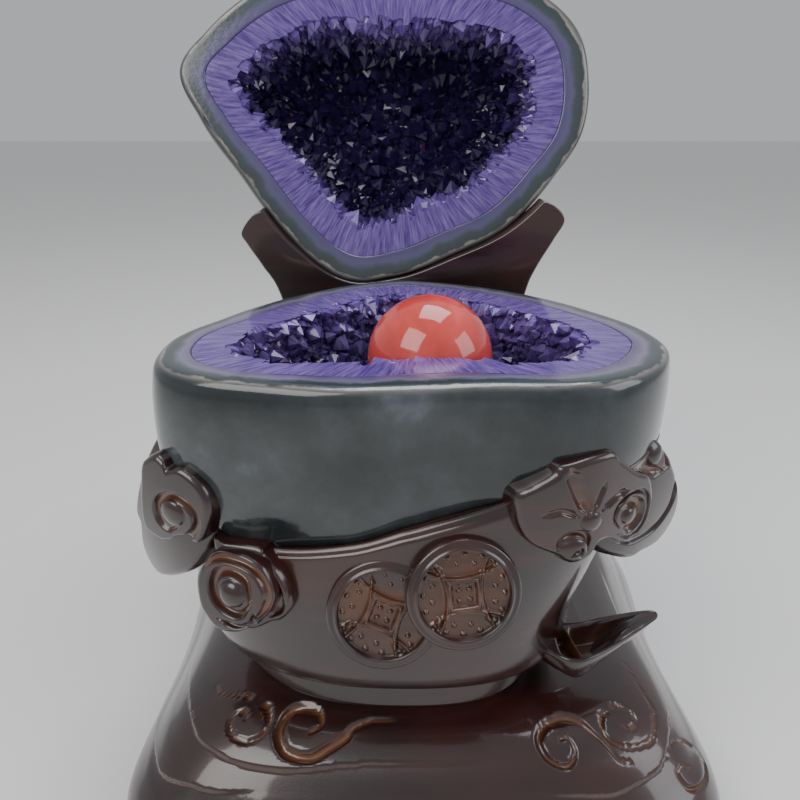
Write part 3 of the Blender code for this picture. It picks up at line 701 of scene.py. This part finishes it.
def bowl_body(wood):
    """Rows run from under the neck up the side, over the rounded lip, and down the seat under the stone."""
    angle = np.linspace(0, TAU, BOWL_COLUMNS, endpoint=False)[None, :]
    x = BOWL_HALF_WIDTH * np.abs(np.cos(angle)) ** (2 / 2.3) * np.sign(np.cos(angle))
    y = BOWL_HALF_DEPTH * np.abs(np.sin(angle)) ** (2 / 2.3) * np.sign(np.sin(angle))
    rows = profile(BOWL_STEPS, 78)
    height, deep, left, right = (rows[:, k:k + 1] for k in range(4))
    wide = deep + (np.where(x < 0, left, right) - deep) * np.abs(x) / BOWL_HALF_WIDTH
    rise = np.clip((height - BOWL_FOOT) / (BOWL_RIM - BOWL_FOOT), 0.0, None)
    lip = around(BOWL_LIP, angle)
    z = height + (lip - BOWL_RIM) * rise**2
    outer = np.stack((BOWL_MIDDLE[0] + x * wide, BOWL_MIDDLE[1] + y * deep, z), -1)
    outer[..., 2] = np.minimum(outer[..., 2], z[-1] - LIP_ROUND)
    middle = np.array((*LOWER_MIDDLE, RIM_HEIGHT))
    way = np.arctan2(outer[-1, :, 1] - middle[1], outer[-1, :, 0] - middle[0])
    low, high = np.zeros(BOWL_COLUMNS), np.ones(BOWL_COLUMNS)
    level = z[-1] - RIM_HEIGHT - 0.001
    for _ in range(16):
        half = (low + high) / 2
        above = stone_skin(LOWER_PLAN, LOWER_LAYERS["skin"], LOWER_LEAN, way, half, SEAT_GAP)[:, 2] > level
        low, high = np.where(above, half, low), np.where(above, high, half)
    fall = low[None] + (0.985 - low[None]) * np.linspace(0, 1, 26)[:, None] ** 1.4
    seat = stone_skin(LOWER_PLAN, LOWER_LAYERS["skin"], LOWER_LEAN, way[None], fall, SEAT_GAP) + middle
    edge = outer[-1]
    across = seat[0] - edge
    run = across / np.maximum(np.linalg.norm(across[:, :2], axis=1), 1e-6)[:, None]
    run[:, 2] = 0.0
    t = np.linspace(0, math.pi / 2, 8)[1:, None, None]
    eased = edge + run * LIP_ROUND * (1 - np.cos(t)) + np.array((0, 0, LIP_ROUND)) * np.sin(t)
    share = np.linspace(0, 1, 7)[1:-1, None, None]
    top = eased[-1] + (seat[0] - eased[-1]) * share
    grid = np.concatenate((outer, eased, top, seat))
    ends = (np.array((*BOWL_MIDDLE, BOWL_STEPS[0][0])), seat[-1].mean(0) - (0, 0, 0.0002))
    points, faces = closed_rings(grid, *ends)
    recess = np.zeros(len(points))
    first = len(outer) + len(eased)
    recess[first * BOWL_COLUMNS:(first + len(top) + 8) * BOWL_COLUMNS] = 0.35
    piece = mesh_piece("bowl_body", points, faces, wood, marks={"recess": recess})
    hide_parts("stand_bowl")


bowl_body(lacquered)

# The bowl's raised carving: overlapping coins on the front, cloud scrolls to the left and right, a plaque
# with lotus petals, and the curled leaf below it. All are cut from the bowl's own wood.
EDGE_ROUND = 0.0035


def facing(place, heading, tilt):
    """A frame at a place whose Z axis points out along a heading from the front and tilts up (degrees)."""
    turn = Matrix.Rotation(math.radians(heading), 4, "Z") @ Matrix.Rotation(math.radians(90 - tilt), 4, "X")
    return Matrix.Translation(place) @ turn


def spiral(middle, inner, outer, turns, start):
    """A line that winds out round a middle, its radius growing evenly; start is in degrees."""
    t = np.linspace(0, 1, 90)
    angle = math.radians(start) + turns * TAU * t
    radius = inner + (outer - inner) * t
    return np.stack((middle[0] + radius * np.cos(angle), middle[1] + radius * np.sin(angle)), 1)


def carving(name, outline, place, heading, tilt, back, relief, wood, bend=(0, 0), rows=56, edge=EDGE_ROUND):
    """A carved slab: rows run from its middle over the front, round the edge and back into the bowl.

    To the left and to the right of its own origin the front curves back, with these two curvatures.
    Relief gives each point's height and how deep in a cut it lies.
    """
    line = line_through(np.array(outline) / 1000, closed=True) if isinstance(outline, tuple) else outline
    middle = line.mean(0)
    reach = np.linalg.norm(line - middle, axis=1)
    share = np.linspace(0.02, 1.0, rows)[:, None]
    plan = middle + (line - middle)[None] * share[..., None]
    height, recess = relief(plan.reshape(-1, 2))
    height = height.reshape(share.shape[0], len(line))
    recess = recess.reshape(height.shape)
    inset = np.clip(edge - (1 - share) * reach, 0, edge)
    height = height - edge + np.sqrt(edge**2 - inset**2)
    front = np.concatenate((plan, height[..., None]), -1)
    side = np.repeat(front[-1:], 5, 0)
    side[..., 2] += (-back - side[..., 2]) * np.linspace(0.15, 1, 5)[:, None]
    grid = np.concatenate((front, side))
    last = np.array((*middle, -back))
    points, faces = closed_rings(grid, np.array((*middle, grid[0, :, 2].mean())), last)
    points[:, 2] -= points[:, 0] ** 2 / 2 * np.where(points[:, 0] < 0, bend[0], bend[1])
    cuts = np.concatenate((recess.ravel(), np.zeros(side.shape[0] * len(line)), recess[0, :1], [0.0]))
    piece = mesh_piece(name, moved(points, facing(place, heading, tilt)), faces, wood, marks={"recess": cuts})
    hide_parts("stand_bowl")


def coin_relief(radius, turn):
    """A pierced coin: a ring, four lens fields of beads between arcs, and a framed square with four beads."""
    ring = 0.80 * radius
    arc = 1.22 * radius
    turn = math.radians(turn)

    def relief(p):
        u = p[:, 0] * math.cos(turn) + p[:, 1] * math.sin(turn)
        v = -p[:, 0] * math.sin(turn) + p[:, 1] * math.cos(turn)
        far = np.hypot(u, v)
        height = np.where(far > ring, 0.0, -0.0016)
        height = height + 0.0012 * np.exp(-((far - ring * 1.03) / 0.0011) ** 2)
        recess = 0.75 * ease((ring - far) / 0.001)
        for k in range(4):
            a = math.pi / 2 * k
            along = u * math.cos(a) + v * math.sin(a)
            across = -u * math.sin(a) + v * math.cos(a)
            apart = np.hypot(along - 0.30 * radius - arc, across) - arc
            inside = ease(-apart / 0.0008) * (far < ring)
            height = height - 0.0010 * inside
            height = height + 0.0017 * np.exp(-(apart / 0.0009) ** 2) * (far < ring)
            for n in range(8):
                step = (n - 3.5) * 0.145 * radius
                bead_at = 0.63 * radius + (0.075 if n % 2 else -0.075) * radius - 0.6 * step**2 / radius
                gap = np.hypot(along - bead_at, across - step)
                height = height + 0.0016 * np.sqrt(np.clip(1 - (gap / 0.0014) ** 2, 0, 1))
        box = np.maximum(np.abs(u) + 0.12 * np.abs(v) ** 2 / radius, np.abs(v) + 0.12 * np.abs(u) ** 2 / radius)
        height = height + 0.0020 * np.exp(-((box - 0.245 * radius) / 0.0011) ** 2)
        height = height - 0.0006 * ease((0.21 * radius - box) / 0.0006)
        for k in range(4):
            a = math.pi / 4 + math.pi / 2 * k
            gap = np.hypot(u - 0.125 * radius * math.cos(a), v - 0.125 * radius * math.sin(a))
            height = height + 0.0016 * np.sqrt(np.clip(1 - (gap / 0.0015) ** 2, 0, 1))
        return height, recess
    return relief


def grooved(cuts, domes=(), swell=0.0, middle=(0.0, 0.0), size=0.03):
    """A gently swelled front with grooves and round knobs.

    A cut is (line in metres, width, depth, how brown); a dome is (middle, radius, height).
    """
    def relief(p):
        height = -swell * ((p - middle) ** 2).sum(1) / size**2
        recess = np.zeros(len(p))
        for line, width, deep, brown in cuts:
            apart, sample = nearest(p, line)
            narrow = 0.4 + 0.6 * taper(sample, len(line), 0.2)
            inside = ease(1.3 - apart / (width * 0.5 * narrow))
            height = height - deep * narrow * inside
            recess = np.maximum(recess, brown * inside)
        for (x, y), radius, rise in domes:
            height = height + rise * np.sqrt(np.clip(1 - ((p[:, 0] - x) ** 2 + (p[:, 1] - y) ** 2) / radius**2, 0, 1))
        return height, recess
    return relief


def circle(radius, count=240):
    """A round outline."""
    turn = np.linspace(0, TAU, count, endpoint=False)
    return radius * np.stack((np.cos(turn), np.sin(turn)), 1)


def ridge(points, width, rise, brown=0.0):
    """A raised line, the opposite of a cut, for a carving's list of cuts."""
    return line_through(np.array(points) / 1000, each=16), width, -rise, brown


def cut(points, width, deep, brown=0.8):
    """A cut line for a carving's list of cuts."""
    return line_through(np.array(points) / 1000, each=16), width, deep, brown


COIN_RADIUS = 0.0315
carving("coin_left", circle(COIN_RADIUS), (-0.0140, -0.1428, 0.1845), -2, 14, 0.020,
        coin_relief(COIN_RADIUS, -20), lacquered, rows=80, edge=0.0022)
carving("coin_right", circle(COIN_RADIUS), (0.0295, -0.1448, 0.1990), 7, 14, 0.020,
        coin_relief(COIN_RADIUS, 4), lacquered, rows=80, edge=0.0022)
CLOUD_LEFT = ((1, 83), (-10, 78), (-20, 63), (-29, 44), (-39, 13), (-34, 4), (-36, -13), (-33, -24), (-24, -30),
              (-11, -26), (5, -17), (19, -7), (26, 2), (37, 20), (39, 35), (24, 56))
carving("cloud_left", CLOUD_LEFT, (-0.142, -0.097, 0.195), -38, 0, 0.034,
        grooved((), swell=0.003), lacquered, bend=(0, 3), edge=0.005)
LOBE_LEFT = ((-14, 48), (-10, 53), (-3, 57), (3, 55), (6, 51), (14, 53), (21, 51), (28, 46), (32, 39), (33, 30),
             (30, 20), (23, 9), (10, 9), (-3, 2), (-15, 4), (-19, 9), (-18, 25), (-16, 37))
carving("lobe_left", LOBE_LEFT, (-0.137, -0.112, 0.207), -28, 0, 0.024,
        grooved((cut(((-3, 3), (6, 7), (17, 12), (23, 20), (23, 28), (17, 34), (8, 36), (0, 32), (-4, 25), (-3, 17),
                      (3, 13), (9, 16)), 0.0050, 0.0034, 0.7),),
                domes=(((0.0085, 0.0255), 0.0080, 0.0030),), swell=0.002, middle=(0.005, 0.028)), lacquered)
SCROLL_LEFT = ((-24, 17), (-23, 2), (-19, -6), (-11, -13), (1, -12), (11, -6), (17, -1), (24, 11), (25, 19), (20, 30),
               (14, 35), (6, 37), (-4, 36), (-13, 34), (-18, 27))
carving("scroll_left", SCROLL_LEFT, (-0.098, -0.137, 0.180), -22, 8, 0.028,
        grooved((cut(((-19, 24), (-12, 31), (-4, 33), (8, 32), (17, 27), (22, 17), (20, 8), (14, 0)), 0.0048, 0.0035),
                 cut(((-9, -5), (3, -7), (12, -3), (14, 4)), 0.0040, 0.0030, 0.2),
                 cut(((12, 12), (9, 22), (1, 26), (-8, 24), (-12, 16), (-10, 7), (-3, 2), (6, 2), (12, 9)),
                     0.0060, 0.0042)),
                domes=(((0.001, 0.0135), 0.0080, 0.0042),), swell=0.002, middle=(0, 0.012)), lacquered)
SCROLL_INNER = ((-34, 33), (-26, 35), (-6, 36), (-2, 32), (7, 24), (11, 18), (14, 10), (14, 3), (9, -5), (2, -9),
                (-18, -15))
carving("scroll_inner", SCROLL_INNER, (-0.078, -0.134, 0.182), -18, 6, 0.020,
        grooved((cut(((-8, 26), (-2, 22), (4, 13), (6, 3), (2, -4)), 0.0070, 0.0030, 0.7),
                 ridge(((-4, 30), (5, 23), (10, 14), (11, 5)), 0.0040, 0.0015)), swell=0.001,
                middle=(-0.01, 0.01)), lacquered, bend=(0, 8))
PLAQUE = ((-49, 33), (-41, 39), (-32, 45), (-29, 49), (-21, 51), (-9, 53), (1, 53), (6, 48), (13, 42), (21, 36),
          (30, 31), (34, 24), (36, 15), (35, 3), (30, -4), (21, -8), (13, -5), (3, 0), (-4, -1), (-9, -9),
          (-18, -11), (-25, -7), (-28, -4), (-40, 3), (-46, 11), (-49, 21))
carving("plaque", PLAQUE, (0.106, -0.127, 0.221), 27, 0, 0.026,
        grooved((cut(((-37, 22), (-28, 24), (-19, 20)), 0.0040, 0.0018, 0.3),
                 cut(((-24, 47), (-20, 36), (-13, 21)), 0.0085, 0.0032, 0.55),
                 cut(((-4, 37), (-7, 30), (-10, 22)), 0.0036, 0.0020, 0.4),
                 cut(((12, 28), (4, 27), (-5, 21)), 0.0052, 0.0022, 0.3),
                 cut(((9, 2), (17, -3), (26, -2), (31, 6), (31, 16), (25, 24), (15, 25), (7, 20), (5, 12), (9, 6)),
                     0.0030, 0.0024, 0.2),
                 cut(((10, 18), (17, 20), (24, 16), (25, 8), (19, 3), (13, 5)), 0.0062, 0.0030, 0.9),
                 cut(((-28, 0), (-26, 7), (-19, 10), (-12, 6), (-11, -2)), 0.0034, 0.0024, 0.4),
                 cut(((-22, -3), (-17, 0), (-15, -5)), 0.0030, 0.0024, 0.3)),
                domes=(((-0.0195, -0.001), 0.0078, 0.0034), ((-0.011, 0.0155), 0.0060, 0.0024),
                       ((0.015, 0.012), 0.0050, 0.0026)), swell=0.0015, middle=(-0.005, 0.02)),
        lacquered, bend=(9, 1.5), rows=80)
CLOUD_RIGHT = ((-14, 82), (-4, 70), (6, 56), (16, 41), (25, 25), (31, 10), (31, -2), (26, -11), (16, -17), (0, -17),
               (-9, -18), (-24, -11), (-34, -5), (-42, 6), (-46, 24), (-34, 52))
carving("cloud_right", CLOUD_RIGHT, (0.143, -0.094, 0.205), 38, 0, 0.032,
        grooved((cut(((22, 36), (20, 22), (17, 12), (5, 2), (-12, -1), (-23, 0)), 0.0055, 0.0034, 0.2),
                 cut(((-16, 71), (-3, 64), (6, 54), (9, 44), (4, 40)), 0.0045, 0.0026, 0.6),
                 cut(((-22, 66), (-18, 56), (-8, 44), (4, 40)), 0.0070, 0.0030, 0.8)),
                domes=(((-0.004, 0.053), 0.0070, 0.0030),), swell=0.003, middle=(0.005, 0.02)),
        lacquered, bend=(6, 0), edge=0.005, rows=70)

# The curled leaf at the bowl's lower right: a cupped dish with a thin lip, its pointed end turned to the right.
LEAF = ((68, -100), (84, -120), (98, -128), (118, -119), (146, -99), (157, -89), (153, -83), (124, -89), (100, -95),
        (76, -90))
LEAF_TOP = 0.141
LEAF_THICKNESS = 0.022
leaf_line = line_through(np.array(LEAF) / 1000, closed=True)


def leaf(wood):
    """Rows run from the floor of the pocket up to the lip, over it and down the keeled underside."""
    middle = np.array((0.110, -0.107))
    share = np.linspace(0.02, 1.0, 60)[:, None]
    plan = middle + (leaf_line - middle)[None] * share[..., None]
    apart = nearest(plan.reshape(-1, 2), leaf_line)[0].reshape(plan.shape[:2])
    inside = ease((apart - 0.0010) / 0.0060) * ease((plan[..., 0] - 0.089) / 0.004)
    rib = nearest(plan.reshape(-1, 2), line_through(((0.098, -0.096), (0.1005, -0.110), (0.104, -0.126))))[0]
    rib = np.exp(-(rib.reshape(inside.shape) / 0.0022) ** 2)
    height = LEAF_TOP - 0.0005 - inside * (0.013 - 0.009 * rib)
    t = np.linspace(0, 1, 14)[1:, None]
    keel = LEAF_THICKNESS * ease((0.160 - leaf_line[:, 0]) / 0.070)
    side_plan = leaf_line + (middle - leaf_line) * (0.45 * t**2)[..., None]
    side = np.concatenate((side_plan, (LEAF_TOP - 0.0008 - keel * t**0.8)[..., None]), -1)
    grid = np.concatenate((np.concatenate((plan, height[..., None]), -1), side))
    ends = (np.array((*middle, height[0].mean())), np.array((*middle, side[-1, :, 2].mean())))
    points, faces = closed_rings(grid, *ends)
    cuts = np.concatenate((0.4 * inside.ravel(), np.zeros(side.shape[0] * side.shape[1]), [0.4, 0.0]))
    piece = mesh_piece("leaf", points, faces, wood, marks={"recess": cuts})
    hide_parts("stand_bowl")


leaf(lacquered)

# The board behind: a plain plank with two spread arms, standing in a slot of the lower stand. The upper half
# of the geode rests in its notch and on a saddle behind it.
REST_FRONT = 0.0975
REST_THICKNESS = 0.020
REST_OUTLINE = ((-0.124, 0.346), (-0.112, 0.360), (-0.096, 0.360), (-0.070, 0.345), (0.000, 0.335), (0.062, 0.354),
                (0.084, 0.370), (0.108, 0.366), (0.118, 0.355), (0.111, 0.340), (0.099, 0.318), (0.092, 0.298),
                (0.080, 0.240), (0.072, 0.160), (0.072, 0.110), (0.064, 0.074), (0.000, 0.070), (-0.064, 0.074),
                (-0.072, 0.110), (-0.074, 0.160), (-0.084, 0.240), (-0.098, 0.298), (-0.110, 0.320), (-0.120, 0.336))
SADDLE_OUTLINE = ((0.105, 0.190), (0.120, 0.200), (0.140, 0.240), (0.158, 0.285), (0.168, 0.330), (0.150, 0.345),
                  (0.105, 0.340))
SADDLE_WIDTH = 0.090


def plank(name, front, back, wood, rounding):
    """A prism between two outlines of equal count, with rounded edges."""
    count = len(front)
    points = np.concatenate((front, back))
    at = np.arange(count)
    sides = np.stack((at, np.roll(at, -1), np.roll(at, -1) + count, at + count), 1)
    piece = mesh_piece(name, points, [at[None, ::-1], at[None] + count, sides], wood, smooth=False)
    soft = piece.modifiers.new("rounded edges", "BEVEL")
    soft.width = rounding
    soft.segments = 4
    soft.angle_limit = math.radians(50)
    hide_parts("lid_rest")


def lid_rest(wood):
    """The board, whose top edge follows the stone where it is lower, and the saddle."""
    line = line_through(REST_OUTLINE, closed=True, each=12)
    turn = np.linspace(-math.pi, 0, 400)
    reach = around(UPPER_PLAN, turn)
    upright = math.cos(math.radians(UPPER_LEAN))
    stone_x = UPPER_FOOT[0] + reach * np.cos(turn)
    stone_z = UPPER_FOOT[2] + (UPPER_MIDDLE + reach * np.sin(turn)) * upright
    under = np.interp(line[:, 0], stone_x, stone_z) - 0.0008
    line[:, 1] = np.where(line[:, 1] > 0.30, np.minimum(line[:, 1], under), line[:, 1])
    front = np.stack((line[:, 0], np.full(len(line), REST_FRONT), line[:, 1]), 1)
    plank("board", front, front + (0, REST_THICKNESS, 0), wood, 0.003)
    side = line_through(SADDLE_OUTLINE, closed=True, each=8)
    side[:, 1] = np.minimum(side[:, 1], 0.296 + 1.1 * np.maximum(0.0, side[:, 0] - 0.135))
    side = np.stack((np.full(len(side), -SADDLE_WIDTH / 2), side[:, 0], side[:, 1]), 1)
    plank("saddle", side, side + (SADDLE_WIDTH, 0, 0), wood, 0.003)


lid_rest(lacquered)
